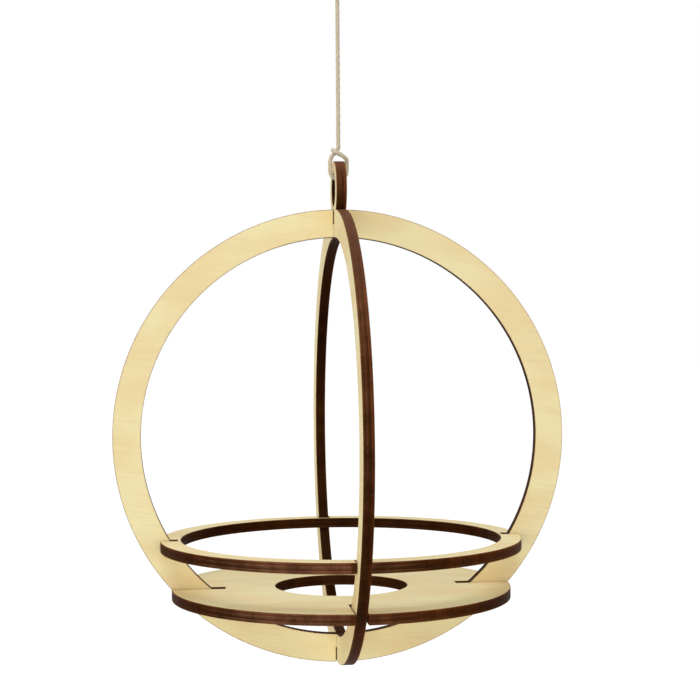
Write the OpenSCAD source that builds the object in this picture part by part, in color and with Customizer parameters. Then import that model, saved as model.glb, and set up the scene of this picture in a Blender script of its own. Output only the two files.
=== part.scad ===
// Hanging holder of slotted plywood: two crossed rings, a hoop and a shelf with a round hole.
// Millimetres, Z up. The origin is the point where the hanging loop bears on its hook.
// The front ring stands in the XZ plane and the eye ring in the YZ plane.

/* [Plywood] */
// Thickness of the plywood sheet
ply = 3; // [2.4:0.1:3.4]
// Spare width of every slot, half of it on each side of the piece that goes in
slot_spare = 0.5; // [0.2:0.1:0.8]
// Gap left between the end of a slot and the edge that rests in it
seat_gap = 0.1; // [0.05:0.05:0.3]

/* [Upright rings] */
// Outer diameter of both upright rings
ring_d = 130; // [110:1:160]
// Width of the upright rings' band
ring_band = 8; // [6:0.5:11]

/* [Eye] */
// Outer diameter of the round eye
eye_d = 16.4; // [15:0.1:20]
// Diameter of the eye's hole
eye_hole_d = 9.4; // [8.4:0.1:10]
// Height of the eye hole's centre above the rings' outer edge
eye_rise = 5.7; // [4.7:0.1:7]

/* [Upper hoop] */
// Depth of the hoop's top face below the rings' centre
hoop_drop = 29.2; // [22:0.2:34]
// How far the hoop's outer edge reaches into the upright rings' bands
hoop_lap = 2.85; // [2:0.05:4]
// Wood left between the end of a slot and the hoop's inner edge
hoop_bridge = 1; // [0.8:0.1:3]

/* [Shelf] */
// Depth of the shelf's top face below the rings' centre
shelf_drop = 43.1; // [38:0.1:46]
// Diameter of the hole in the middle of the shelf
shelf_hole_d = 38; // [20:1:50]

/* [Twine] */
// Diameter of the twine
twine_d = 1.2; // [1:0.1:1.3]
// Diameter of the knot above the eye
eye_knot_d = 3.8; // [3.4:0.1:4]
// Diameter of the knot under the hanging loop
top_knot_d = 4; // [3.6:0.1:4.4]

/* [Hidden] */

// Facets of the round cuts, and the length by which a cut runs past a face
$fn = 180;
past = 1;

// Half of the hanging loop in the XZ plane, from its top down to the upper knot
hanging_route = [
    [0, 0.6], [1.3, 0.4], [2.5, -0.1], [3.5, -0.9], [4.3, -1.9], [4.8, -3.1], [5, -4.4],
    [5, -6.5], [4.7, -9.5], [4.1, -13], [3.3, -17], [2.3, -21], [1.4, -24], [0.8, -25.9]
];
// Heights of the straight stretch of twine, from the upper knot down to the lower one
twine_heights = [
    -30.2, -33, -36, -39, -42, -45, -48, -51, -54, -57, -60, -63, -66, -69, -72.1
];
// Half of the loop through the eye in the XZ plane, from its lowest point up to the lower knot
eye_route = [
    [0, -82.2], [1.2, -81.9], [2.1, -81], [2.4, -79.8], [2.4, -78.4], [2.35, -76.8],
    [2, -75.8], [1.4, -75.1]
];
// Heights of the two knots, and of the hole's upper edge where the eye hangs on its loop
top_knot_z = -28;
eye_knot_z = -74.2;
hang_z = -80.6;
// Sides of the twine
twine_sides = 8;

// Radii and heights that follow from the sizes above
ring_r = ring_d / 2;
ring_in = ring_r - ring_band;
lap_r = ring_r - ring_band / 2;
slot_w = ply + slot_spare;
eye_z = hang_z - eye_hole_d / 2;
centre_z = eye_z - eye_rise - ring_r;
hoop_slot = ring_x(ring_in, hoop_drop + ply) - seat_gap;
hoop_r = ring_x(ring_in, hoop_drop) + hoop_lap;
hoop_in = hoop_slot - hoop_bridge;
shelf_slot = ring_x(ring_in, shelf_drop + ply) - seat_gap;
shelf_r = ring_x(ring_r, shelf_drop);

// Half width of a circle of radius r at the depth drop below its centre
function ring_x(r, drop) = sqrt(r * r - drop * drop);

// Both halves of a loop from one half, in the XZ plane
function whole_loop(half) = concat(
    [for (i = [len(half) - 1 : -1 : 1]) [-half[i].x, half[i].y]],
    half
);

// Direction of a route in the XZ plane at its point i
function heading(route, i) =
    let (
        before = route[max(i - 1, 0)],
        after = route[min(i + 1, len(route) - 1)],
        step = after - before
    )
    step / norm(step);

// One tube of round section along a route in the XZ plane
module tube(route, d, sides) {
    rings = len(route);
    points = [
        for (i = [0 : rings - 1])
            let (way = heading(route, i))
            for (k = [0 : sides - 1])
                let (a = 360 * k / sides, out = d / 2 * cos(a))
                [route[i].x + way.y * out, d / 2 * sin(a), route[i].y - way.x * out]
    ];
    walls = [
        for (i = [0 : rings - 2])
            for (k = [0 : sides - 1])
                let (
                    a = i * sides + k,
                    b = i * sides + (k + 1) % sides,
                    c = a + sides,
                    e = b + sides
                )
                each [[a, b, c], [b, e, c]]
    ];
    first = [[for (k = [sides - 1 : -1 : 0]) k]];
    last = [[for (k = [0 : sides - 1]) (rings - 1) * sides + k]];
    polyhedron(points = points, faces = concat(walls, first, last));
}

// A flat ring of plywood, lying level and centred on its own thickness
module flat_ring(outer, inner) {
    difference() {
        cylinder(h = ply, r = outer, center = true);
        cylinder(h = ply + 2 * past, r = inner, center = true);
    }
}

// Four slots from the radius start out through the edge, one for each crossing of an upright ring
module edge_slots(start, outer) {
    for (a = [0 : 90 : 270])
        rotate([0, 0, a])
            translate([start, -slot_w / 2, -ply / 2 - past])
                cube([outer - start + past, slot_w, ply + 2 * past]);
}

// Two blocks that cut the crossing slots at the top and the bottom of an upright ring
module crossing_slots(low, high, across_x, across_y) {
    for (side = [-1, 1])
        translate([0, 0, side * (low + high) / 2])
            cube([across_x, across_y, high - low], center = true);
}

module hanging_loop() {
    color("antiquewhite")
        tube(whole_loop(hanging_route), twine_d, twine_sides);
}

module top_knot() {
    color("antiquewhite")
        translate([0, 0, top_knot_z])
            sphere(d = top_knot_d);
}

module twine() {
    color("antiquewhite")
        tube([for (z = twine_heights) [0, z]], twine_d, twine_sides);
}

module eye_knot() {
    color("antiquewhite")
        translate([0, 0, eye_knot_z])
            sphere(d = eye_knot_d);
}

module eye_loop() {
    color("antiquewhite")
        tube(whole_loop(eye_route), twine_d, twine_sides);
}

module eye_ring() {
    color("wheat")
        difference() {
            union() {
                translate([0, 0, centre_z])
                    rotate([0, 90, 0])
                        flat_ring(ring_r, ring_in);
                // The eye's lower part stays within the band, so that the ring's opening stays round
                translate([0, 0, eye_z])
                    rotate([0, 90, 0])
                        cylinder(h = ply, d = eye_d, center = true);
            }
            translate([0, 0, eye_z])
                rotate([0, 90, 0])
                    cylinder(h = ply + 2 * past, d = eye_hole_d, center = true);
            translate([0, 0, centre_z])
                crossing_slots(ring_in - past, lap_r + seat_gap / 2, ply + 2 * past, slot_w);
        }
}

module front_ring() {
    color("burlywood")
        translate([0, 0, centre_z])
            difference() {
                rotate([90, 0, 0])
                    flat_ring(ring_r, ring_in);
                crossing_slots(lap_r - seat_gap / 2, ring_r + past, slot_w, ply + 2 * past);
            }
}

module upper_hoop() {
    color("moccasin")
        translate([0, 0, centre_z - hoop_drop - ply / 2])
            difference() {
                flat_ring(hoop_r, hoop_in);
                edge_slots(hoop_slot, hoop_r);
            }
}

module shelf() {
    color("navajowhite")
        translate([0, 0, centre_z - shelf_drop - ply / 2])
            difference() {
                flat_ring(shelf_r, shelf_hole_d / 2);
                edge_slots(shelf_slot, shelf_r);
            }
}

hanging_loop();
top_knot();
twine();
eye_knot();
eye_loop();
eye_ring();
front_ring();
upper_hoop();
shelf();
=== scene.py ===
# Hanging holder of slotted plywood: two crossed rings, a hoop and a shelf, on one length of twine.
# Metres, Z up, with the point where the hanging loop bears on its hook at the origin.

import math
import random

import bmesh
import bpy
from bpy.props import FloatProperty, FloatVectorProperty, IntProperty, PointerProperty
from mathutils import Matrix, Vector
from mathutils.geometry import interpolate_bezier


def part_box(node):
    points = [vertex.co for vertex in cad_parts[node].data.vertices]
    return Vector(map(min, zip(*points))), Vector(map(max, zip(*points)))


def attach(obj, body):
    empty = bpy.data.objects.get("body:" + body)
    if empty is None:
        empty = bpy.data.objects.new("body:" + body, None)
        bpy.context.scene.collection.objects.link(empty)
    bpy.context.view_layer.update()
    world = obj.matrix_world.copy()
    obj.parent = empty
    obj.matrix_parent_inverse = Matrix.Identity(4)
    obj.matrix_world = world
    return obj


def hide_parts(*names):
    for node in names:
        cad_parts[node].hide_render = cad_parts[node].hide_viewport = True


bl_info = {
    "name": "Air Plant Holder",
    "version": (1, 0, 0),
    "blender": (4, 5, 0),
    "location": "View3D > Sidebar > Plant Holder",
    "description": "Dresses a hanging plywood plant holder with veneer, burnt edges and twine",
    "category": "Add Mesh",
}

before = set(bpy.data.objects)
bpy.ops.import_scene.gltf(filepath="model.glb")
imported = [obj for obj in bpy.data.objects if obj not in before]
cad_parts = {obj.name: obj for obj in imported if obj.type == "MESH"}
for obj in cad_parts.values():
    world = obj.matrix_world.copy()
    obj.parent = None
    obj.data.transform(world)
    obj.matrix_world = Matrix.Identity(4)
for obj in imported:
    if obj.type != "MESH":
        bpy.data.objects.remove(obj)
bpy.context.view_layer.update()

# Fine shapes are modelled in millimetres and brought to metres as they are put in place
MM = 0.001

# Half of the hanging loop as X and Z, from its top down to the upper knot
HANGING_ROUTE = [
    (0, 0.0006), (0.0013, 0.0004), (0.0025, -0.0001), (0.0035, -0.0009), (0.0043, -0.0019),
    (0.0048, -0.0031), (0.005, -0.0044), (0.005, -0.0065), (0.0047, -0.0095), (0.0041, -0.013),
    (0.0033, -0.017), (0.0023, -0.021), (0.0014, -0.024), (0.0008, -0.0259),
]
# Heights of the straight stretch of twine, from the upper knot down to the lower one
TWINE_HEIGHTS = [
    -0.0302, -0.033, -0.036, -0.039, -0.042, -0.045, -0.048, -0.051,
    -0.054, -0.057, -0.06, -0.063, -0.066, -0.069, -0.0721,
]
# Half of the loop through the eye as X and Z, from its lowest point up to where the knot takes it
EYE_ROUTE = [
    (0, -0.0822), (0.0012, -0.0819), (0.0021, -0.081), (0.0024, -0.0798), (0.0024, -0.0784),
]
# The twine above the loop's left side, from the end of the straight stretch
EYE_KNOT_ENTRY = [
    (0, 0, -0.0728), (0, 0, -0.0733), (-0.00035, 0.0001, -0.0741), (-0.0011, 0.0002, -0.07485),
    (-0.00195, 0.0001, -0.0758), (-0.00235, 0, -0.077),
]
# The twine above the loop's right side: over the front to the left, and round the back to its end
EYE_KNOT_HITCH = [
    (0.0024, -0.00015, -0.0773), (0.00216, -0.0006, -0.07655), (0.00142, -0.00092, -0.07585),
    (0.00035, -0.00107, -0.07515), (-0.0006, -0.00096, -0.07458), (-0.0014, -0.0005, -0.0741),
    (-0.0016, 0.0002, -0.0739), (-0.0011, 0.0009, -0.0741), (-0.0003, 0.0013, -0.07455),
    (0.0005, 0.00135, -0.075), (0.00105, 0.0013, -0.07535),
]
# Where each end of the hanging loop stops: half the gap between them, and the height above the
# middle of the upper knot
HANGING_LOOP_END = (0.00035, 0.0004)
# The turns of twine that make the upper knot: how many there are, how many points each is drawn
# with, their radius, and the heights of the first and the last
TOP_KNOT_TURNS = 3
TOP_KNOT_POINTS = 8
TOP_KNOT_REACH = 0.0013
TOP_KNOT_SPAN = (-0.0267, -0.0294)
# The short tail that the last turn leaves
TOP_KNOT_TAIL = [(0.0013, 0.0009, -0.0293), (0.0012, 0.0017, -0.0289), (0.001, 0.0024, -0.0283)]


def width(node, axis):
    """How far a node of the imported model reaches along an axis."""
    low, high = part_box(node)
    return high[axis] - low[axis]


def middle_of(node):
    """The middle of a node's box."""
    low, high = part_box(node)
    return (low + high) / 2


class WoodSettings(bpy.types.PropertyGroup):
    """Sizes of the plywood pieces and of the marks that the laser left on them."""

    thickness: FloatProperty(
        name="Thickness", description="Thickness of the plywood sheet",
        default=width("front_ring", 1), unit="LENGTH",
    )
    ring_radius: FloatProperty(
        name="Ring radius", description="Outer radius of both upright rings",
        default=width("front_ring", 0) / 2, unit="LENGTH",
    )
    ring_band: FloatProperty(
        name="Ring band", description="Width of the upright rings' band",
        default=0.008, unit="LENGTH",
    )
    slot_width: FloatProperty(
        name="Slot width", description="Width of every slot", default=0.0035, unit="LENGTH",
    )
    seat_gap: FloatProperty(
        name="Seat gap", description="Gap between a slot's end and the edge that rests in it",
        default=0.0001, unit="LENGTH",
    )
    eye_radius: FloatProperty(
        name="Eye radius", description="Outer radius of the round eye", default=0.0082,
        unit="LENGTH",
    )
    eye_hole_radius: FloatProperty(
        name="Eye hole radius", description="Radius of the eye's hole", default=0.0047,
        unit="LENGTH",
    )
    hoop_bridge: FloatProperty(
        name="Hoop bridge", description="Wood between a slot's end and the hoop's inner edge",
        default=0.001, unit="LENGTH",
    )
    shelf_hole_radius: FloatProperty(
        name="Shelf hole radius", description="Radius of the hole in the shelf",
        default=0.019, unit="LENGTH",
    )
    core_share: FloatProperty(
        name="Core share", description="Share of the thickness that the middle ply takes",
        default=0.43, subtype="FACTOR",
    )
    glue_groove: FloatProperty(
        name="Glue groove", description="Depth of the fine groove along each glue line",
        default=0.00004, unit="LENGTH",
    )
    arris: FloatProperty(
        name="Arris", description="Rounding of the cut edges", default=0.00009, unit="LENGTH",
    )
    scorch_line: FloatProperty(
        name="Scorch line", description="Width of the dark line beside each cut",
        default=0.00012, unit="LENGTH",
    )
    scorch_fade: FloatProperty(
        name="Scorch fade", description="Width over which the dark line fades out",
        default=0.0003, unit="LENGTH",
    )


class TwineSettings(bpy.types.PropertyGroup):
    """Sizes of the twine and its loose fibres."""

    thickness: FloatProperty(
        name="Thickness", description="Diameter of the twine", default=0.0012, unit="LENGTH",
    )
    lay: FloatProperty(
        name="Lay", description="Length of one full turn of the strands", default=0.0064,
        unit="LENGTH",
    )
    strand_share: FloatProperty(
        name="Strand share", description="Radius of one strand as a share of the twine's radius",
        default=0.78, subtype="FACTOR",
    )
    fibre_length: FloatProperty(
        name="Fibre length", description="Length of the longest loose fibre", default=0.0016,
        unit="LENGTH",
    )
    fibres: IntProperty(
        name="Fibres", description="Loose fibres for each 10 mm of twine", default=26, min=0,
    )


class FinishSettings(bpy.types.PropertyGroup):
    """Colours of the wood, its burnt edges and the twine."""

    veneer: FloatVectorProperty(
        name="Veneer", description="Main colour of the birch face", subtype="COLOR",
        default=(0.84, 0.735, 0.415),
    )
    veneer_warm: FloatVectorProperty(
        name="Warm veneer", description="Colour of the face's warmer patches", subtype="COLOR",
        default=(0.815, 0.655, 0.35),
    )
    veneer_grain: FloatVectorProperty(
        name="Grain", description="Colour of the fine grain lines", subtype="COLOR",
        default=(0.62, 0.45, 0.2),
    )
    scorch: FloatVectorProperty(
        name="Scorch", description="Colour of the scorched line beside a cut", subtype="COLOR",
        default=(0.34, 0.165, 0.06),
    )
    burnt_ply: FloatVectorProperty(
        name="Burnt outer ply", description="Colour of the outer plies' cut edge",
        subtype="COLOR", default=(0.07, 0.017, 0.0034),
    )
    burnt_core: FloatVectorProperty(
        name="Burnt core", description="Colour of the middle ply's cut edge", subtype="COLOR",
        default=(0.046, 0.0135, 0.0035),
    )
    bare_edge: FloatVectorProperty(
        name="Bare edge", description="Colour of the outer ply's cut edge on the sheet's back",
        subtype="COLOR", default=(0.058, 0.0185, 0.004),
    )
    # Used for the pale dust flecks and also for the painted highlight and painted sheen on cut
    # edges that face up or to the front left
    dust_and_sheen: FloatVectorProperty(
        name="Dust", description="Colour of the fine dust on cut edges that face up",
        subtype="COLOR", default=(0.27, 0.125, 0.07),
    )
    twine: FloatVectorProperty(
        name="Twine", description="Main colour of the twine", subtype="COLOR",
        default=(0.58, 0.5, 0.36),
    )
    # Also painted as shade in the hollows between the strands
    twine_dark: FloatVectorProperty(
        name="Dark twine", description="Colour of the twine's darker fibres", subtype="COLOR",
        default=(0.4, 0.31, 0.19),
    )


class StudioSettings(bpy.types.PropertyGroup):
    """The camera and the plain light."""

    camera_place: FloatVectorProperty(
        name="Camera place", description="Where the camera stands", subtype="TRANSLATION",
        unit="LENGTH", default=(-0.05316, -0.47626, -0.12271),
    )
    yaw: FloatProperty(
        name="Yaw", description="Turn of the view from straight on towards the right",
        default=math.radians(6.725), unit="ROTATION",
    )
    pitch: FloatProperty(
        name="Pitch", description="Tilt of the view above the level",
        default=math.radians(-1.032), unit="ROTATION",
    )
    roll: FloatProperty(
        name="Roll", description="Turn of the view about its own line",
        default=math.radians(-0.38), unit="ROTATION",
    )
    lens: FloatProperty(
        name="Lens", description="Focal length on a sensor 36 mm wide, in millimetres",
        default=85.65, unit="CAMERA",
    )
    key_power: FloatProperty(
        name="Key light", description="Power of the large lamp in front", default=18.0,
        subtype="POWER",
    )
    side_power: FloatProperty(
        name="Side light", description="Power of the lamp on the left", default=10.4,
        subtype="POWER",
    )
    top_power: FloatProperty(
        name="Top light", description="Power of the lamp above", default=8.5, subtype="POWER",
    )
    sky: FloatProperty(
        name="Sky", description="Brightness of the even light from all round", default=0.52,
    )
    floor_drop: FloatProperty(
        name="Floor drop", description="Depth of the floor below the hook", default=1.0,
        unit="LENGTH",
    )


class Shader:
    """A material whose nodes are added and linked by short calls."""

    def __init__(self, name):
        self.material = bpy.data.materials.new(name)
        self.material.use_nodes = True
        self.tree = self.material.node_tree
        self.tree.nodes.clear()

    def add(self, kind, inputs, **settings):
        """Adds a node. inputs holds a value or a socket for each input, by name or number."""
        node = self.tree.nodes.new("ShaderNode" + kind)
        for key, value in settings.items():
            setattr(node, key, value)
        for key, value in inputs.items():
            if isinstance(value, bpy.types.NodeSocket):
                self.tree.links.new(value, node.inputs[key])
            else:
                node.inputs[key].default_value = value
        return node

    def attribute(self, name, output):
        """A value or a vector that the mesh stores."""
        return self.add("Attribute", {}, attribute_name=name).outputs[output]

    def stretch(self, vector, scale, turn=(0, 0, 0)):
        """A pattern's coordinates, turned and then scaled along each axis."""
        turned = self.add("Mapping", {"Vector": vector, "Rotation": turn}).outputs[0]
        return self.add("Mapping", {"Vector": turned, "Scale": scale}).outputs[0]

    def noise(self, vector, scale=1.0, detail=2.0, roughness=0.5):
        """An uneven pattern from 0 to 1, most of it near 0.5."""
        inputs = {"Vector": vector, "Scale": scale, "Detail": detail, "Roughness": roughness}
        return self.add("TexNoise", inputs).outputs["Fac"]

    def math(self, operation, first, second=0.5):
        """Works on one value or two, each a socket or a number."""
        return self.add("Math", {0: first, 1: second}, operation=operation).outputs[0]

    def between(self, value, low, high, to_low=0.0, to_high=1.0):
        """Brings a value from one range smoothly into another, and holds it there."""
        inputs = {"Value": value, 1: low, 2: high, 3: to_low, 4: to_high}
        return self.add("MapRange", inputs, interpolation_type="SMOOTHSTEP").outputs[0]

    def mix(self, share, first, second, blend_type="MIX"):
        """Mixes two colours, each a socket or three numbers."""
        inputs = {0: share}
        for key, colour in ((6, first), (7, second)):
            is_socket = isinstance(colour, bpy.types.NodeSocket)
            inputs[key] = colour if is_socket else (*colour, 1)
        node = self.add("Mix", inputs, data_type="RGBA", blend_type=blend_type)
        return node.outputs[2]

    def bump(self, height, distance, strength):
        """A normal that shows the height as fine relief, in metres."""
        inputs = {"Height": height, "Distance": distance, "Strength": strength}
        return self.add("Bump", inputs).outputs[0]

    def surface(self, inputs):
        """Ends the material in a Principled shader with these inputs."""
        shown = self.add("BsdfPrincipled", inputs).outputs[0]
        self.add("OutputMaterial", {"Surface": shown})
        return self.material


def veneer_material(colours):
    """Pale birch veneer: soft warm patches, fine grain lines, short pores and scorched rims."""
    shader = Shader("birch_veneer")
    sheet = shader.attribute("sheet", "Vector")
    slant = (0, 0, math.radians(7))
    patches = shader.noise(shader.stretch(sheet, (0.03, 0.075, 0.05), slant), detail=3.0)
    lines = shader.noise(shader.stretch(sheet, (0.06, 1.3, 1.0), slant), detail=5.0)
    pores = shader.noise(shader.stretch(sheet, (0.42, 5.5, 1.0), slant), detail=1.0)
    colour = shader.mix(
        shader.between(patches, 0.38, 0.62), tuple(colours.veneer), tuple(colours.veneer_warm),
    )
    grain = tuple(colours.veneer_grain)
    colour = shader.mix(shader.between(lines, 0.45, 0.75, 0.0, 0.17), colour, grain)
    colour = shader.mix(shader.between(pores, 0.6, 0.74, 0.0, 0.2), colour, grain)
    burn = shader.attribute("scorch", "Fac")
    uneven = shader.noise(sheet, scale=0.8, detail=3.0)
    burn = shader.math("MULTIPLY", burn, shader.between(uneven, 0.3, 0.7, 0.55, 1.0))
    colour = shader.mix(shader.between(burn, 0.0, 0.85, 0.0, 0.75), colour, tuple(colours.scorch))
    relief = shader.math("ADD", lines, shader.math("MULTIPLY", pores, -0.5))
    return shader.surface({
        "Base Color": colour,
        "Roughness": shader.between(lines, 0.3, 0.7, 0.5, 0.62),
        "Specular IOR Level": 0.12,
        "Normal": shader.bump(relief, 0.00006, 0.4),
    })


def burnt_edge_material(colours, wood):
    """The laser-cut edge: charred plies, blackest in inner cuts, with painted shade where it faces
    down, painted highlights where it faces up or to the front left, and pale dust flecks.
    """
    shader = Shader("burnt_edge")
    sheet = shader.attribute("sheet", "Vector")
    across = shader.attribute("depth", "Fac")
    depth = shader.math("ABSOLUTE", across)
    marks = shader.noise(shader.stretch(sheet, (2.6, 2.6, 0.12)), detail=3.0, roughness=0.65)
    clouds = shader.noise(sheet, scale=0.22, detail=3.0)
    drift = shader.noise(sheet, scale=0.022, detail=1.0)
    speckle = shader.noise(sheet, scale=7.0, detail=2.0)
    raggedness = 0.14
    ragged = shader.math("ADD", depth, shader.math("MULTIPLY", marks, raggedness))
    edge = wood.core_share + raggedness / 2
    blur = 0.2
    outer = shader.between(ragged, edge - blur, edge + blur)
    side = shader.between(across, -blur, blur)
    core = tuple(colours.burnt_core)
    plies = shader.mix(side, tuple(colours.bare_edge), tuple(colours.burnt_ply))
    # In the inner cuts the plies take the core's colour, the tone is darker and the pale mix is
    # nearly gone
    soot = shader.attribute("soot", "Fac")
    plies = shader.mix(shader.math("MULTIPLY", soot, 0.7), plies, core)
    colour = shader.mix(outer, core, plies)
    toasted = shader.between(ragged, 0.82, 1.1, 0.0, 0.3)
    colour = shader.mix(toasted, colour, tuple(colours.scorch))
    tone = shader.math(
        "MULTIPLY",
        shader.between(marks, 0.3, 0.7, 0.92, 1.08),
        shader.between(clouds, 0.3, 0.7, 0.8, 1.2),
    )
    tone = shader.math("MULTIPLY", tone, shader.between(speckle, 0.35, 0.75, 0.9, 1.15))
    tone = shader.math("MULTIPLY", tone, shader.between(drift, 0.35, 0.65, 0.75, 1.25))
    tone = shader.math("MULTIPLY", tone, shader.between(soot, 0.0, 1.0, 1.0, 0.62))
    upward = shader.attribute("upward", "Fac")
    # Painted shade: cut edges that face down are drawn up to a fifth darker
    tone = shader.math("MULTIPLY", tone, shader.between(upward, -0.8, 0.0, 0.8, 1.0))
    shade = shader.add("CombineColor", {0: tone, 1: tone, 2: tone}).outputs[0]
    colour = shader.mix(1.0, colour, shade, "MULTIPLY")
    flecks = shader.noise(shader.stretch(sheet, (1.6, 1.6, 1.1)), detail=4.0, roughness=0.7)
    # Painted highlight on cut edges that face up, standing in for the top lamp's gloss, with real
    # pale dust flecks mixed in
    flecks_and_sheen = shader.math(
        "ADD",
        shader.between(upward, 0.3, 1.0, 0.0, 0.4),
        shader.between(flecks, 0.52, 0.74, 0.0, 0.16),
    )
    # Painted sheen: cut edges that face the front left are paled in patches, standing in for the
    # lamps' glint
    worn = shader.math(
        "MULTIPLY",
        shader.between(shader.attribute("worn", "Fac"), 0.74, 1.0, 0.0, 0.38),
        shader.between(clouds, 0.35, 0.65, 0.55, 1.3),
    )
    flecks_and_sheen = shader.math("ADD", flecks_and_sheen, worn)
    flecks_and_sheen = shader.math("MULTIPLY", flecks_and_sheen, shader.between(speckle, 0.3, 0.7, 0.6, 1.3))
    flecks_and_sheen = shader.math("MULTIPLY", flecks_and_sheen, shader.between(soot, 0.0, 1.0, 1.0, 0.1))
    colour = shader.mix(flecks_and_sheen, colour, tuple(colours.dust_and_sheen))
    relief = shader.math("ADD", marks, shader.math("MULTIPLY", speckle, 0.35))
    return shader.surface({
        "Base Color": colour,
        "Roughness": shader.between(marks, 0.3, 0.7, 0.36, 0.5),
        "Specular IOR Level": 0.005,
        "Normal": shader.bump(relief, 0.00012, 0.35),
    })


def twine_material(colours):
    """Natural twine: pale fibres that run with the strands, with painted shade in the hollows
    between them.
    """
    shader = Shader("natural_twine")
    lay = shader.attribute("lay", "Vector")
    fibres = shader.noise(shader.stretch(lay, (5.0, 5.0, 0.35)), detail=4.0, roughness=0.6)
    patches = shader.noise(shader.stretch(lay, (0.5, 0.5, 0.18)), detail=2.0)
    hollow = shader.attribute("hollow", "Fac")
    dark = tuple(colours.twine_dark)
    colour = shader.mix(shader.between(fibres, 0.42, 0.72, 0.0, 0.5), tuple(colours.twine), dark)
    colour = shader.mix(shader.between(patches, 0.45, 0.75, 0.0, 0.25), colour, dark)
    # Painted shade in the hollows between the strands
    colour = shader.mix(shader.between(hollow, 0.3, 1.0, 0.0, 0.3), colour, dark)
    return shader.surface({
        "Base Color": colour,
        "Roughness": 0.85,
        "Specular IOR Level": 0.2,
        "Sheen Weight": 0.25,
        "Sheen Roughness": 0.5,
        "Normal": shader.bump(fibres, 0.00008, 0.7),
    })


def finish_of(name):
    """A finish of the holder, made the first time that it is asked for."""
    found = bpy.data.materials.get(name)
    if found:
        return found
    colours = bpy.context.scene.holder_finish
    if name == "birch_veneer":
        return veneer_material(colours)
    if name == "burnt_edge":
        return burnt_edge_material(colours, bpy.context.scene.holder_wood)
    return twine_material(colours)


def add_piece(name, bm, finishes, body, node):
    """Makes a piece of the shape, gives it its finishes, and lets it stand for its CAD node."""
    bmesh.ops.recalc_face_normals(bm, faces=bm.faces[:])
    mesh = bpy.data.meshes.new(name)
    bm.to_mesh(mesh)
    bm.free()
    for finish in finishes:
        mesh.materials.append(finish_of(finish))
    piece = bpy.data.objects.new(name, mesh)
    bpy.context.scene.collection.objects.link(piece)
    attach(piece, body)
    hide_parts(node)
    return piece


# Length of the strokes that large and small circles are drawn with, in millimetres, and the
# fewest strokes in an arc
LARGE_STROKE = 1.6
SMALL_STROKE = 0.8
LEAST_STROKES = 4


class Outline:
    """A closed outline in the sheet's plane, drawn with straight and round strokes."""

    def __init__(self, bm, start):
        self.bm = bm
        self.first = bm.verts.new(start)
        self.tip = self.first

    def line_to(self, point):
        """Draws a straight stroke."""
        made = bmesh.ops.extrude_vert_indiv(self.bm, verts=[self.tip])
        self.tip = made["verts"][0]
        self.tip.co = point

    def arc(self, centre, angle, step):
        """Swings round the centre by the angle, in strokes of about the length step."""
        radius = (self.tip.co - Vector(centre)).length
        steps = max(LEAST_STROKES, round(abs(angle) * radius / step))
        made = bmesh.ops.spin(
            self.bm, geom=[self.tip], cent=centre, axis=(0, 0, 1), dvec=(0, 0, 0), angle=angle,
            steps=steps, use_merge=False, use_normal_flip=False, use_duplicate=False,
        )
        self.tip = next(g for g in made["geom_last"] if isinstance(g, bmesh.types.BMVert))

    def close(self):
        """Joins the last stroke to the first."""
        bmesh.ops.weld_verts(self.bm, targetmap={self.tip: self.first})


def slotted_circle(bm, radius, slot_end, slots, half_slot, turn):
    """A circle with straight slots from it to the radius slot_end, which lies in or out."""
    share = 2 * math.pi / slots
    half_mouth = math.asin(half_slot / radius)
    mouth = radius * math.cos(half_mouth)
    start = Matrix.Rotation(turn, 3, "Z")
    outline = Outline(bm, start @ Vector((mouth, half_slot, 0)))
    for k in range(1, slots + 1):
        place = Matrix.Rotation(turn + k * share, 3, "Z")
        outline.arc((0, 0, 0), share - 2 * half_mouth, LARGE_STROKE)
        for x, y in ((slot_end, -half_slot), (slot_end, half_slot), (mouth, half_slot)):
            outline.line_to(place @ Vector((x, y, 0)))
    outline.close()


def plain_circle(bm, radius, stroke, centre=(0, 0, 0)):
    """A full circle, such as the rim of a hole."""
    segments = round(2 * math.pi * radius / stroke)
    bmesh.ops.create_circle(
        bm, cap_ends=False, segments=segments, radius=radius,
        matrix=Matrix.Translation(centre),
    )


def circle_with_eye(bm, radius, eye_radius, eye_height):
    """A circle with a round eye grown out of its top."""
    neck_z = (eye_height ** 2 + radius ** 2 - eye_radius ** 2) / (2 * eye_height)
    neck_x = math.sqrt(radius ** 2 - neck_z ** 2)
    outline = Outline(bm, (-neck_x, neck_z, 0))
    neck_angle = math.atan2(neck_x, neck_z)
    outline.arc((0, 0, 0), 2 * math.pi - 2 * neck_angle, LARGE_STROKE)
    below = math.atan2(eye_height - neck_z, neck_x)
    outline.arc((0, eye_height, 0), math.pi + 2 * below, SMALL_STROKE)
    outline.close()


# A facet belongs to the sheet's face when its normal's Z is past this
FACE_NORMAL = 0.99
# An edge between two facets is shaded sharp past this angle
SHARP_ANGLE = math.radians(60)
# A cut takes a point as lying on it within this distance, in millimetres
CUT_TOLERANCE = 0.00001


def is_face(face):
    """True on the sheet's two faces and false on its cut edges."""
    return abs(face.normal.z) > FACE_NORMAL


def outer_outline(bm):
    """The corners of the outline that lies outside all the others."""
    found = {max(bm.verts, key=lambda vert: vert.co.length)}
    front = list(found)
    while front:
        vert = front.pop()
        beside = {edge.other_vert(vert) for edge in vert.link_edges} - found
        found |= beside
        front += beside
    return found


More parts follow.
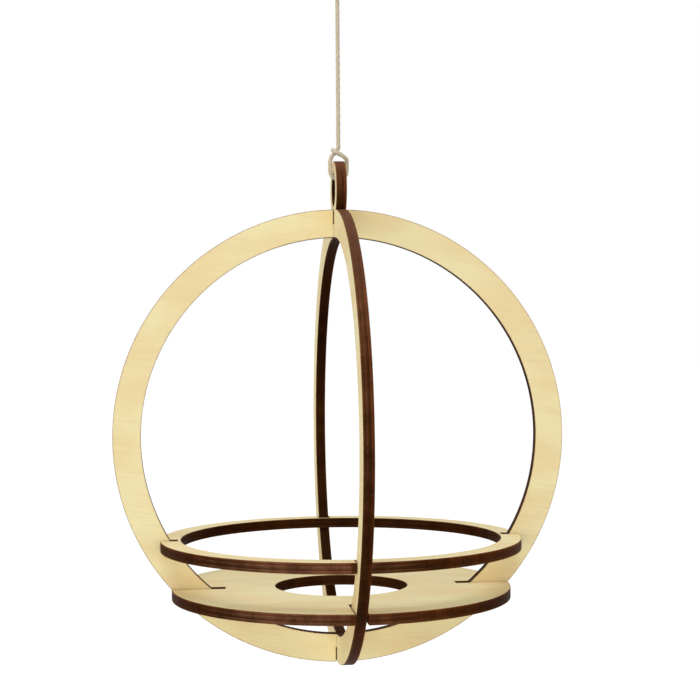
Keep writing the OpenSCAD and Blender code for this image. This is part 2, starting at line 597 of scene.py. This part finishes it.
def cut_plywood(bm, wood, sheet_place):
    """Turns the outlines into a cut piece: scorched rims, three plies and softened edges."""
    half = wood.thickness / MM / 2
    scorch = bm.verts.layers.float.new("scorch")
    # 1 on the cuts inside the outer outline, which the burnt edge draws darker
    soot = bm.verts.layers.float.new("soot")
    outside = outer_outline(bm)
    for vert in bm.verts:
        vert[soot] = vert not in outside
    bmesh.ops.triangle_fill(bm, use_beauty=True, use_dissolve=False, edges=bm.edges[:])
    for vert in bm.verts:
        vert[scorch] = 1
    middle = bm.faces[:]
    # Fully scorched at the cut, half where the dark line ends, and clean where it has faded
    for rim, burn in ((wood.scorch_line, 0.5), (wood.scorch_fade, 0.0)):
        bmesh.ops.inset_region(
            bm, faces=middle, thickness=rim / MM, use_boundary=True, use_even_offset=True,
        )
        for vert in {v for face in middle for v in face.verts}:
            vert[scorch] = burn
    bmesh.ops.translate(bm, verts=bm.verts[:], vec=(0, 0, -half))
    made = bmesh.ops.extrude_face_region(bm, geom=bm.faces[:], use_keep_orig=True)
    top = [g for g in made["geom"] if isinstance(g, bmesh.types.BMVert)]
    bmesh.ops.translate(bm, verts=top, vec=(0, 0, 2 * half))
    bmesh.ops.recalc_face_normals(bm, faces=bm.faces[:])
    score_glue_lines(bm, half * wood.core_share, wood.glue_groove / MM)
    bm.normal_update()
    arris = [
        e for e in bm.edges
        if len(e.link_faces) == 2 and is_face(e.link_faces[0]) != is_face(e.link_faces[1])
    ]
    bmesh.ops.bevel(
        bm, geom=arris, offset=wood.arris / MM, offset_type="OFFSET", segments=2,
        profile=0.5, affect="EDGES", clamp_overlap=True, material=-1,
    )
    bm.normal_update()
    mark_finishes(bm, half, sheet_place)


def score_glue_lines(bm, core, groove):
    """Draws a fine groove round the cut edges along both glue lines."""
    flank = 1.5 * groove
    for side in (-1, 1):
        for height in (core - flank, core, core + flank):
            bmesh.ops.bisect_plane(
                bm, geom=bm.verts[:] + bm.edges[:] + bm.faces[:], dist=CUT_TOLERANCE,
                plane_co=(0, 0, side * height), plane_no=(0, 0, 1),
            )
    bm.normal_update()
    for vert in bm.verts:
        if abs(abs(vert.co.z) - core) < groove / 10:
            vert.co -= vert.normal * groove


def mark_finishes(bm, half, sheet_place):
    """Sets each face's finish and shading, and stores the place in the sheet and the depth."""
    for face in bm.faces:
        face.material_index = 0 if is_face(face) else 1
        face.smooth = not is_face(face)
    for edge in bm.edges:
        edge.smooth = edge.calc_face_angle(0) < SHARP_ANGLE
    sheet = bm.verts.layers.float_vector.new("sheet")
    depth = bm.verts.layers.float.new("depth")
    for vert in bm.verts:
        vert[sheet] = vert.co + Vector(sheet_place)
        vert[depth] = vert.co.z / half


def upright(quarter_turns):
    """Stands a sheet up with its face towards the viewer, then turns it about Z."""
    stood_up = Matrix.Rotation(math.pi / 2, 4, "X")
    return Matrix.Rotation(quarter_turns * math.pi / 2, 4, "Z") @ stood_up


# Where each piece lies in the sheet that all are cut from, in millimetres
SHEET_PLACES = {
    "front_ring": (0, 0, 0),
    "eye_ring": (160, 30, 0),
    "upper_hoop": (20, 170, 0),
    "shelf": (150, 190, 0),
}
# Direction that the cut edges with the strongest painted sheen face, a painted highlight for the
# lamps in front and to the left
SHEEN_SIDE = Vector((-0.3, -0.9, 0.3)).normalized()
# How strong the painted sheen is on an upright piece, where a level one counts as 1
UPRIGHT_SHEEN = 0.88


def add_wood(node, bm, wood, turn, centre):
    """Cuts the outlines from the sheet and puts the piece in the place of its CAD node."""
    cut_plywood(bm, wood, SHEET_PLACES[node])
    place = Matrix.Translation(centre) @ turn @ Matrix.Scale(MM, 4)
    bmesh.ops.transform(bm, matrix=place, verts=bm.verts[:])
    bm.normal_update()
    upward = bm.verts.layers.float.new("upward")
    worn = bm.verts.layers.float.new("worn")
    # 1 for a level piece and 0 for an upright one
    level = abs(turn.col[2].z)
    sheen_share = UPRIGHT_SHEEN + (1 - UPRIGHT_SHEEN) * level
    # Stores the normal's height and, for the painted sheen, its share towards the sheen's
    # direction
    for vert in bm.verts:
        vert[upward] = vert.normal.z
        vert[worn] = sheen_share * vert.normal.dot(SHEEN_SIDE)
    add_piece(f"{node}_wood", bm, ("birch_veneer", "burnt_edge"), "holder", node)


def inner_edge_at(wood, depth):
    """Half width of the rings' opening at a depth below their centre."""
    inner = wood.ring_radius - wood.ring_band
    return math.sqrt(inner ** 2 - depth ** 2)


def outer_radius(node, wood):
    """Radius of a level piece, whose box ends at the mouths of its slots."""
    return math.hypot(width(node, 0) / 2, wood.slot_width / 2)


def level_slot_end(node, wood):
    """Radius at which a level piece's slots end, where it rests in the rings' opening."""
    underside = middle_of("front_ring").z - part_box(node)[0].z
    return inner_edge_at(wood, underside) - wood.seat_gap


def add_level_wood(node, wood, hole_radius):
    """Makes a level disc with a round hole and a slot over each crossing of a ring's band."""
    bm = bmesh.new()
    slotted_circle(
        bm, outer_radius(node, wood) / MM, level_slot_end(node, wood) / MM, slots=4,
        half_slot=wood.slot_width / MM / 2, turn=0,
    )
    plain_circle(bm, hole_radius / MM, LARGE_STROKE)
    add_wood(node, bm, wood, Matrix.Identity(4), middle_of(node))


class HOLDER_OT_front_ring(bpy.types.Operator):
    """Make the upright ring that faces the viewer, slotted from outside"""

    bl_idname = "holder.front_ring"
    bl_label = "Front Ring"

    def execute(self, context):
        wood = context.scene.holder_wood
        radius = wood.ring_radius / MM
        seat = radius - wood.ring_band / MM / 2 - wood.seat_gap / MM / 2
        bm = bmesh.new()
        slotted_circle(
            bm, radius, seat, slots=2, half_slot=wood.slot_width / MM / 2, turn=math.pi / 2,
        )
        plain_circle(bm, radius - wood.ring_band / MM, LARGE_STROKE)
        add_wood("front_ring", bm, wood, upright(0), middle_of("front_ring"))
        return {"FINISHED"}


class HOLDER_OT_eye_ring(bpy.types.Operator):
    """Make the upright ring with the eye, slotted from inside"""

    bl_idname = "holder.eye_ring"
    bl_label = "Eye Ring"

    def execute(self, context):
        wood = context.scene.holder_wood
        radius = wood.ring_radius / MM
        seat = radius - wood.ring_band / MM / 2 + wood.seat_gap / MM / 2
        centre = middle_of("front_ring")
        eye_height = (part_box("eye_ring")[1].z - wood.eye_radius - centre.z) / MM
        bm = bmesh.new()
        circle_with_eye(bm, radius, wood.eye_radius / MM, eye_height)
        slotted_circle(
            bm, radius - wood.ring_band / MM, seat, slots=2,
            half_slot=wood.slot_width / MM / 2, turn=math.pi / 2,
        )
        plain_circle(bm, wood.eye_hole_radius / MM, SMALL_STROKE, (0, eye_height, 0))
        add_wood("eye_ring", bm, wood, upright(1), centre)
        return {"FINISHED"}


class HOLDER_OT_upper_hoop(bpy.types.Operator):
    """Make the narrow level hoop"""

    bl_idname = "holder.upper_hoop"
    bl_label = "Upper Hoop"

    def execute(self, context):
        wood = context.scene.holder_wood
        inner_radius = level_slot_end("upper_hoop", wood) - wood.hoop_bridge
        add_level_wood("upper_hoop", wood, inner_radius)
        return {"FINISHED"}


class HOLDER_OT_shelf(bpy.types.Operator):
    """Make the level shelf with its round hole"""

    bl_idname = "holder.shelf"
    bl_label = "Shelf"

    def execute(self, context):
        wood = context.scene.holder_wood
        add_level_wood("shelf", wood, wood.shelf_hole_radius)
        return {"FINISHED"}


# Length of the steps in which twine is laid
LAY_STEP = 0.00025
# Twisted strands of the twine, and the sides of its section
STRANDS = 3
TWINE_SIDES = 24
# Points on the curve between two chosen points of a route, before it is stepped evenly
CURVE_POINTS = 24
# Length of twine that the number of loose fibres is counted on
FIBRE_STRETCH = 0.01
# A loose fibre's radius at its root and at its tip
FIBRE_RADII = (0.000022, 0.000008)
# How far out a fibre is rooted, as a share of the twine's thickness
FIBRE_ROOT = 0.36
# The shortest fibre as a share of the longest, and how far fibres lean, in degrees
FIBRE_SHORTEST = 0.35
FIBRE_LEAN = (12, 50)
# Millimetres of the twine's pattern that a fibre's tone is drawn from
FIBRE_TONES = 40
# Starts of the random draws for the fibres of the twine and of the knots
TWINE_SEED = 4
KNOT_SEED = 9


def whole_loop(half):
    """Both halves of a loop from one half, as points in the XZ plane."""
    left = [Vector((-x, 0, z)) for x, z in reversed(half[1:])]
    return left + [Vector((x, 0, z)) for x, z in half]


def even_route(points):
    """Points at even steps on a smooth curve through the chosen ones."""
    points = [Vector(p) for p in points]
    dense = []
    for i, (here, there) in enumerate(zip(points, points[1:])):
        before = points[max(i - 1, 0)]
        after = points[min(i + 2, len(points) - 1)]
        bend = [here, here + (there - before) / 6, there - (after - here) / 6, there]
        dense += interpolate_bezier(*bend, CURVE_POINTS)[:-1]
    dense.append(points[-1])
    lengths = [0.0]
    for here, there in zip(dense, dense[1:]):
        lengths.append(lengths[-1] + (there - here).length)
    steps = max(2, round(lengths[-1] / LAY_STEP))
    route = []
    at = 0
    for k in range(steps + 1):
        goal = lengths[-1] * k / steps
        while at < len(dense) - 2 and lengths[at + 1] < goal:
            at += 1
        share = (goal - lengths[at]) / (lengths[at + 1] - lengths[at])
        route.append(dense[at].lerp(dense[at + 1], share))
    return route


def frames_along(route):
    """A place and an untwisted direction for each point of a route, as matrices."""
    frames = []
    heading = (route[1] - route[0]).normalized()
    side = heading.cross(Vector((0, 1, 0))).normalized()
    for i, point in enumerate(route):
        ahead = (route[min(i + 1, len(route) - 1)] - route[max(i - 1, 0)]).normalized()
        side = heading.rotation_difference(ahead) @ side
        side = (side - ahead * side.dot(ahead)).normalized()
        heading = ahead
        turn = Matrix((side, heading.cross(side), heading)).transposed().to_4x4()
        frames.append(Matrix.Translation(point) @ turn)
    return frames


def strand_reach(angle, radius, strand_share):
    """Distance from the twine's middle to its surface, over the strands side by side."""
    strand = radius * strand_share
    offset = radius - strand
    share = 2 * math.pi / STRANDS
    off = (angle + share / 2) % share - share / 2
    return offset * math.cos(off) + math.sqrt(strand ** 2 - (offset * math.sin(off)) ** 2)


def draw_section(bm, twine):
    """Draws the twine's section, in millimetres, and marks the hollows between its strands."""
    layers = bm.verts.layers
    lay = layers.float_vector.get("lay") or layers.float_vector.new("lay")
    hollow = layers.float.get("hollow") or layers.float.new("hollow")
    radius = twine.thickness / 2
    section = bmesh.ops.create_circle(
        bm, cap_ends=True, segments=TWINE_SIDES, radius=radius / MM,
    )["verts"]
    valley = strand_reach(math.pi / STRANDS, radius, twine.strand_share)
    for vert in section:
        angle = math.atan2(vert.co.y, vert.co.x)
        reach = strand_reach(angle, radius, twine.strand_share)
        vert[lay] = (reach / MM * math.cos(angle), reach / MM * math.sin(angle), 0)
        vert[hollow] = (radius - reach) / (radius - valley)
        vert.co *= reach / radius
    return section


def lay_twine(bm, frames, twine, laid=0):
    """Sweeps the twisted strands along the frames, after laid steps of the same twine."""
    before = len(bm.verts)
    section = draw_section(bm, twine)
    turn_each = 2 * math.pi * LAY_STEP / twine.lay
    bmesh.ops.rotate(
        bm, verts=section, cent=(0, 0, 0), matrix=Matrix.Rotation(turn_each * laid, 3, "Z"),
    )
    steps = len(frames) - 1
    rim = list(dict.fromkeys(e for v in section for e in v.link_edges))
    made = bmesh.ops.spin(
        bm, geom=rim, cent=(0, 0, 0), axis=(0, 0, 1), dvec=(0, 0, 1),
        angle=turn_each * steps, steps=steps, use_merge=False, use_normal_flip=False,
        use_duplicate=False,
    )
    last = [g for g in made["geom_last"] if isinstance(g, bmesh.types.BMEdge)]
    bmesh.ops.edgeloop_fill(bm, edges=last)
    bm.verts.ensure_lookup_table()
    lay = bm.verts.layers.float_vector["lay"]
    for vert in bm.verts[before:]:
        k = min(max(round(vert.co.z), 0), steps)
        vert[lay] = (vert[lay].x, vert[lay].y, (laid + k) * LAY_STEP / MM)
        vert.co = frames[k] @ Vector((vert.co.x * MM, vert.co.y * MM, 0))
    for face in bm.faces:
        face.smooth = True
        is_end = len(face.verts) == TWINE_SIDES
        if is_end:
            for edge in face.edges:
                edge.smooth = False


def add_fibres(bm, frames, twine, chance):
    """Adds loose fibres that stand a little off the twine."""
    count = round(len(frames) * LAY_STEP / FIBRE_STRETCH * twine.fibres)
    root, tip = FIBRE_RADII
    lay = bm.verts.layers.float_vector["lay"]
    for _ in range(count):
        place = frames[chance.randrange(1, len(frames) - 1)]
        length = twine.fibre_length * chance.uniform(FIBRE_SHORTEST, 1.0)
        lean = math.radians(chance.uniform(*FIBRE_LEAN)) * chance.choice((-1, 1))
        around = Matrix.Rotation(chance.uniform(0, 2 * math.pi), 4, "Z")
        out = Matrix.Translation((twine.thickness * FIBRE_ROOT, 0, 0))
        along = Matrix.Rotation(lean, 4, "Y") @ Matrix.Translation((0, 0, length / 2))
        made = bmesh.ops.create_cone(
            bm, cap_ends=True, segments=3, radius1=root, radius2=tip, depth=length,
            matrix=place @ around @ out @ along,
        )
        for vert in made["verts"]:
            vert[lay] = (1, 0, chance.uniform(0, FIBRE_TONES))


def add_twine(name, bm, body, node):
    """Makes a piece of twine of the shape."""
    return add_piece(name, bm, ("natural_twine",), body, node)


def nearest_step(route, point):
    """The step of the route that lies nearest to the point."""
    return min(range(len(route)), key=lambda k: (route[k] - point).length)


def eye_tie_frames():
    """Frames of the whole tie at the eye, and the steps at which its loop starts and ends."""
    loop = whole_loop(EYE_ROUTE)
    route = even_route([*EYE_KNOT_ENTRY, *loop, *EYE_KNOT_HITCH])
    return frames_along(route), nearest_step(route, loop[0]), nearest_step(route, loop[-1])


class HOLDER_OT_twine(bpy.types.Operator):
    """Make the hanging loop, the straight twine and the loop through the eye"""

    bl_idname = "holder.twine"
    bl_label = "Twine"

    def execute(self, context):
        twine = context.scene.holder_twine
        chance = random.Random(TWINE_SEED)
        knot_z = middle_of("top_knot").z
        half_gap, rise = HANGING_LOOP_END
        loop = frames_along(even_route(whole_loop([*HANGING_ROUTE, (half_gap, knot_z + rise)])))
        self.add("hanging_loop_twine", loop, "hanging_loop", "hanging_loop", chance)
        points = [(0, 0, z) for z in (knot_z, *TWINE_HEIGHTS)]
        straight = frames_along(even_route([*points, EYE_KNOT_ENTRY[0]]))
        # The tie at the eye starts at step 0, and the straight twine's strands run on into it
        above = 1 - len(straight)
        self.add("straight_twine", straight, "twine", "twine", chance, laid=above)
        tie, start, end = eye_tie_frames()
        self.add("eye_loop_twine", tie[start:end + 1], "eye_tie", "eye_loop", chance, laid=start)
        return {"FINISHED"}

    def add(self, name, frames, body, node, chance, laid=0):
        """Lays a stretch of twine, and notes on the piece the route that it follows."""
        twine = bpy.context.scene.holder_twine
        bm = bmesh.new()
        lay_twine(bm, frames, twine, laid)
        add_fibres(bm, frames, twine, chance)
        piece = add_twine(name, bm, body, node)
        piece["route"] = [list(f.translation) for f in frames]


def top_knot_route():
    """The turns of twine round the hanging loop's ends, and the tail that is left over."""
    points = []
    high, low = TOP_KNOT_SPAN
    last = TOP_KNOT_TURNS * TOP_KNOT_POINTS + 1
    for k in range(last + 1):
        share = k / last
        angle = 2 * math.pi * TOP_KNOT_TURNS * share
        points.append((
            TOP_KNOT_REACH * math.cos(angle), TOP_KNOT_REACH * math.sin(angle),
            high + (low - high) * share,
        ))
    return points + TOP_KNOT_TAIL


class HOLDER_OT_knots(bpy.types.Operator):
    bl_idname = "holder.knots"
    bl_label = "Knots"

    def execute(self, context):
        twine = context.scene.holder_twine
        chance = random.Random(KNOT_SEED)
        tie, start, end = eye_tie_frames()
        bm = bmesh.new()
        lay_twine(bm, tie[:start + 1], twine)
        lay_twine(bm, tie[end:], twine, laid=end)
        add_fibres(bm, tie[end:], twine, chance)
        eye_knot = add_twine("eye_knot_twine", bm, "eye_tie", "eye_knot")
        bm = bmesh.new()
        turns = frames_along(even_route(top_knot_route()))
        lay_twine(bm, turns, twine)
        add_fibres(bm, turns, twine, chance)
        top_knot = add_twine("top_knot_twine", bm, "top_knot", "top_knot")
        self.declare("hanging_loop_twine", TOP_KNOT_SPAN[0], [top_knot])
        loop = bpy.data.objects["eye_loop_twine"]
        self.declare("straight_twine", middle_of("eye_knot").z, [eye_knot, loop])
        return {"FINISHED"}

    def declare(self, name, exit_z, with_pieces):
        """Takes off the route that was noted on a piece."""
        piece = bpy.data.objects[name]
        del piece["route"]


# Each lamp's place, the length of its sides, and the setting that holds its power
LAMPS = {
    "key_light": ((-0.2, -1.9, -0.75), 1.8, "key_power"),
    "side_light": ((-1.9, -0.8, -0.2), 1.4, "side_power"),
    "top_light": ((-0.15, -0.45, 1.0), 1.0, "top_power"),
}
# Width of the camera's sensor, in millimetres
SENSOR_WIDTH = 36
# Half the width of the floor
FLOOR_REACH = 30


def add_lamp(name, place, target, size, power):
    """Adds a square lamp that points at the target and isn't seen itself."""
    light = bpy.data.lights.new(name, "AREA")
    light.size = size
    light.energy = power
    lamp = bpy.data.objects.new(name, light)
    lamp.location = place
    lamp.rotation_euler = (Vector(target) - Vector(place)).to_track_quat("-Z", "Y").to_euler()
    lamp.visible_camera = False
    bpy.context.scene.collection.objects.link(lamp)


def seen_directly(tree):
    """A socket that is 1 for the rays that show the background, straight or in a gloss."""
    path = tree.nodes.new("ShaderNodeLightPath").outputs
    total = path["Is Camera Ray"]
    for name in ("Is Glossy Ray", "Is Transmission Ray"):
        both = tree.nodes.new("ShaderNodeMath")
        both.operation = "MAXIMUM"
        tree.links.new(total, both.inputs[0])
        tree.links.new(path[name], both.inputs[1])
        total = both.outputs[0]
    return total


def light_world(sky):
    """Surrounds the holder with white that shows as white and lights it evenly."""
    world = bpy.data.worlds.new("plain_studio")
    world.use_nodes = True
    tree = world.node_tree
    background = tree.nodes["Background"]
    background.inputs["Color"].default_value = (1, 1, 1, 1)
    strength = tree.nodes.new("ShaderNodeMapRange")
    tree.links.new(seen_directly(tree), strength.inputs["Value"])
    strength.inputs["To Min"].default_value = sky
    strength.inputs["To Max"].default_value = 1
    tree.links.new(strength.outputs[0], background.inputs["Strength"])
    bpy.context.scene.world = world


def floor_material():
    """A pale floor that shows white and still keeps the shadow that falls on it."""
    shader = Shader("pale_floor")
    plain = shader.add("BsdfDiffuse", {"Color": (0.8, 0.8, 0.8, 1)}).outputs[0]
    faint = shader.add("BsdfDiffuse", {"Color": (0.5, 0.5, 0.5, 1)}).outputs[0]
    glow = shader.add("Emission", {"Color": (1, 1, 1, 1), "Strength": 0.8}).outputs[0]
    shown = shader.add("AddShader", {0: faint, 1: glow}).outputs[0]
    seen = seen_directly(shader.tree)
    surface = shader.add("MixShader", {0: seen, 1: plain, 2: shown}).outputs[0]
    shader.add("OutputMaterial", {"Surface": surface})
    return shader.material


def add_floor(drop):
    """Lays a wide, level floor at a depth below the hook."""
    bm = bmesh.new()
    bmesh.ops.create_grid(
        bm, x_segments=1, y_segments=1, size=FLOOR_REACH,
        matrix=Matrix.Translation((0, 0, -drop)),
    )
    mesh = bpy.data.meshes.new("floor")
    bm.to_mesh(mesh)
    bm.free()
    mesh.materials.append(floor_material())
    floor = bpy.data.objects.new("floor", mesh)
    bpy.context.scene.collection.objects.link(floor)


def add_camera(studio):
    """Stands the camera where the photograph was taken from."""
    level = math.cos(studio.pitch)
    ahead = Vector((
        math.sin(studio.yaw) * level, math.cos(studio.yaw) * level, math.sin(studio.pitch),
    ))
    right = Vector((math.cos(studio.yaw), -math.sin(studio.yaw), 0))
    up = right.cross(ahead)
    turn = Matrix((right, up, -ahead)).transposed() @ Matrix.Rotation(studio.roll, 3, "Z")
    data = bpy.data.cameras.new("camera")
    data.sensor_width = SENSOR_WIDTH
    data.lens = studio.lens
    camera = bpy.data.objects.new("camera", data)
    camera.matrix_world = Matrix.Translation(studio.camera_place) @ turn.to_4x4()
    bpy.context.scene.collection.objects.link(camera)
    bpy.context.scene.camera = camera


class HOLDER_OT_stage(bpy.types.Operator):
    """Make the camera, the floor and the plain light"""

    bl_idname = "holder.stage"
    bl_label = "Stage"

    def execute(self, context):
        studio = context.scene.holder_studio
        add_camera(studio)
        target = middle_of("front_ring")
        for name, (place, size, power) in LAMPS.items():
            add_lamp(name, place, target, size, getattr(studio, power))
        light_world(studio.sky)
        add_floor(studio.floor_drop)
        context.scene.view_settings.view_transform = "Standard"
        return {"FINISHED"}


class HOLDER_PT_panel(bpy.types.Panel):
    """Lists the holder's settings and the buttons that make its pieces"""

    bl_idname = "HOLDER_PT_panel"
    bl_label = "Plant Holder"
    bl_space_type = "VIEW_3D"
    bl_region_type = "UI"
    bl_category = "Plant Holder"

    def draw(self, context):
        for operator in OPERATORS:
            self.layout.operator(operator.bl_idname)
        for name in SETTINGS:
            group = getattr(context.scene, name)
            box = self.layout.box()
            for setting in group.__annotations__:
                box.prop(group, setting)


OPERATORS = (
    HOLDER_OT_stage,
    HOLDER_OT_twine,
    HOLDER_OT_knots,
    HOLDER_OT_front_ring,
    HOLDER_OT_eye_ring,
    HOLDER_OT_upper_hoop,
    HOLDER_OT_shelf,
)
SETTINGS = {
    "holder_wood": WoodSettings,
    "holder_twine": TwineSettings,
    "holder_finish": FinishSettings,
    "holder_studio": StudioSettings,
}


def register():
    for kind in (*SETTINGS.values(), *OPERATORS, HOLDER_PT_panel):
        bpy.utils.register_class(kind)
    for name, kind in SETTINGS.items():
        setattr(bpy.types.Scene, name, PointerProperty(type=kind))


def unregister():
    for name in SETTINGS:
        delattr(bpy.types.Scene, name)
    for kind in (HOLDER_PT_panel, *reversed(OPERATORS), *SETTINGS.values()):
        bpy.utils.unregister_class(kind)


def main():
    register()
    bpy.ops.holder.stage()
    bpy.ops.holder.twine()
    bpy.ops.holder.knots()
    bpy.ops.holder.front_ring()
    bpy.ops.holder.eye_ring()
    bpy.ops.holder.upper_hoop()
    bpy.ops.holder.shelf()


if __name__ == "__main__":
    main()
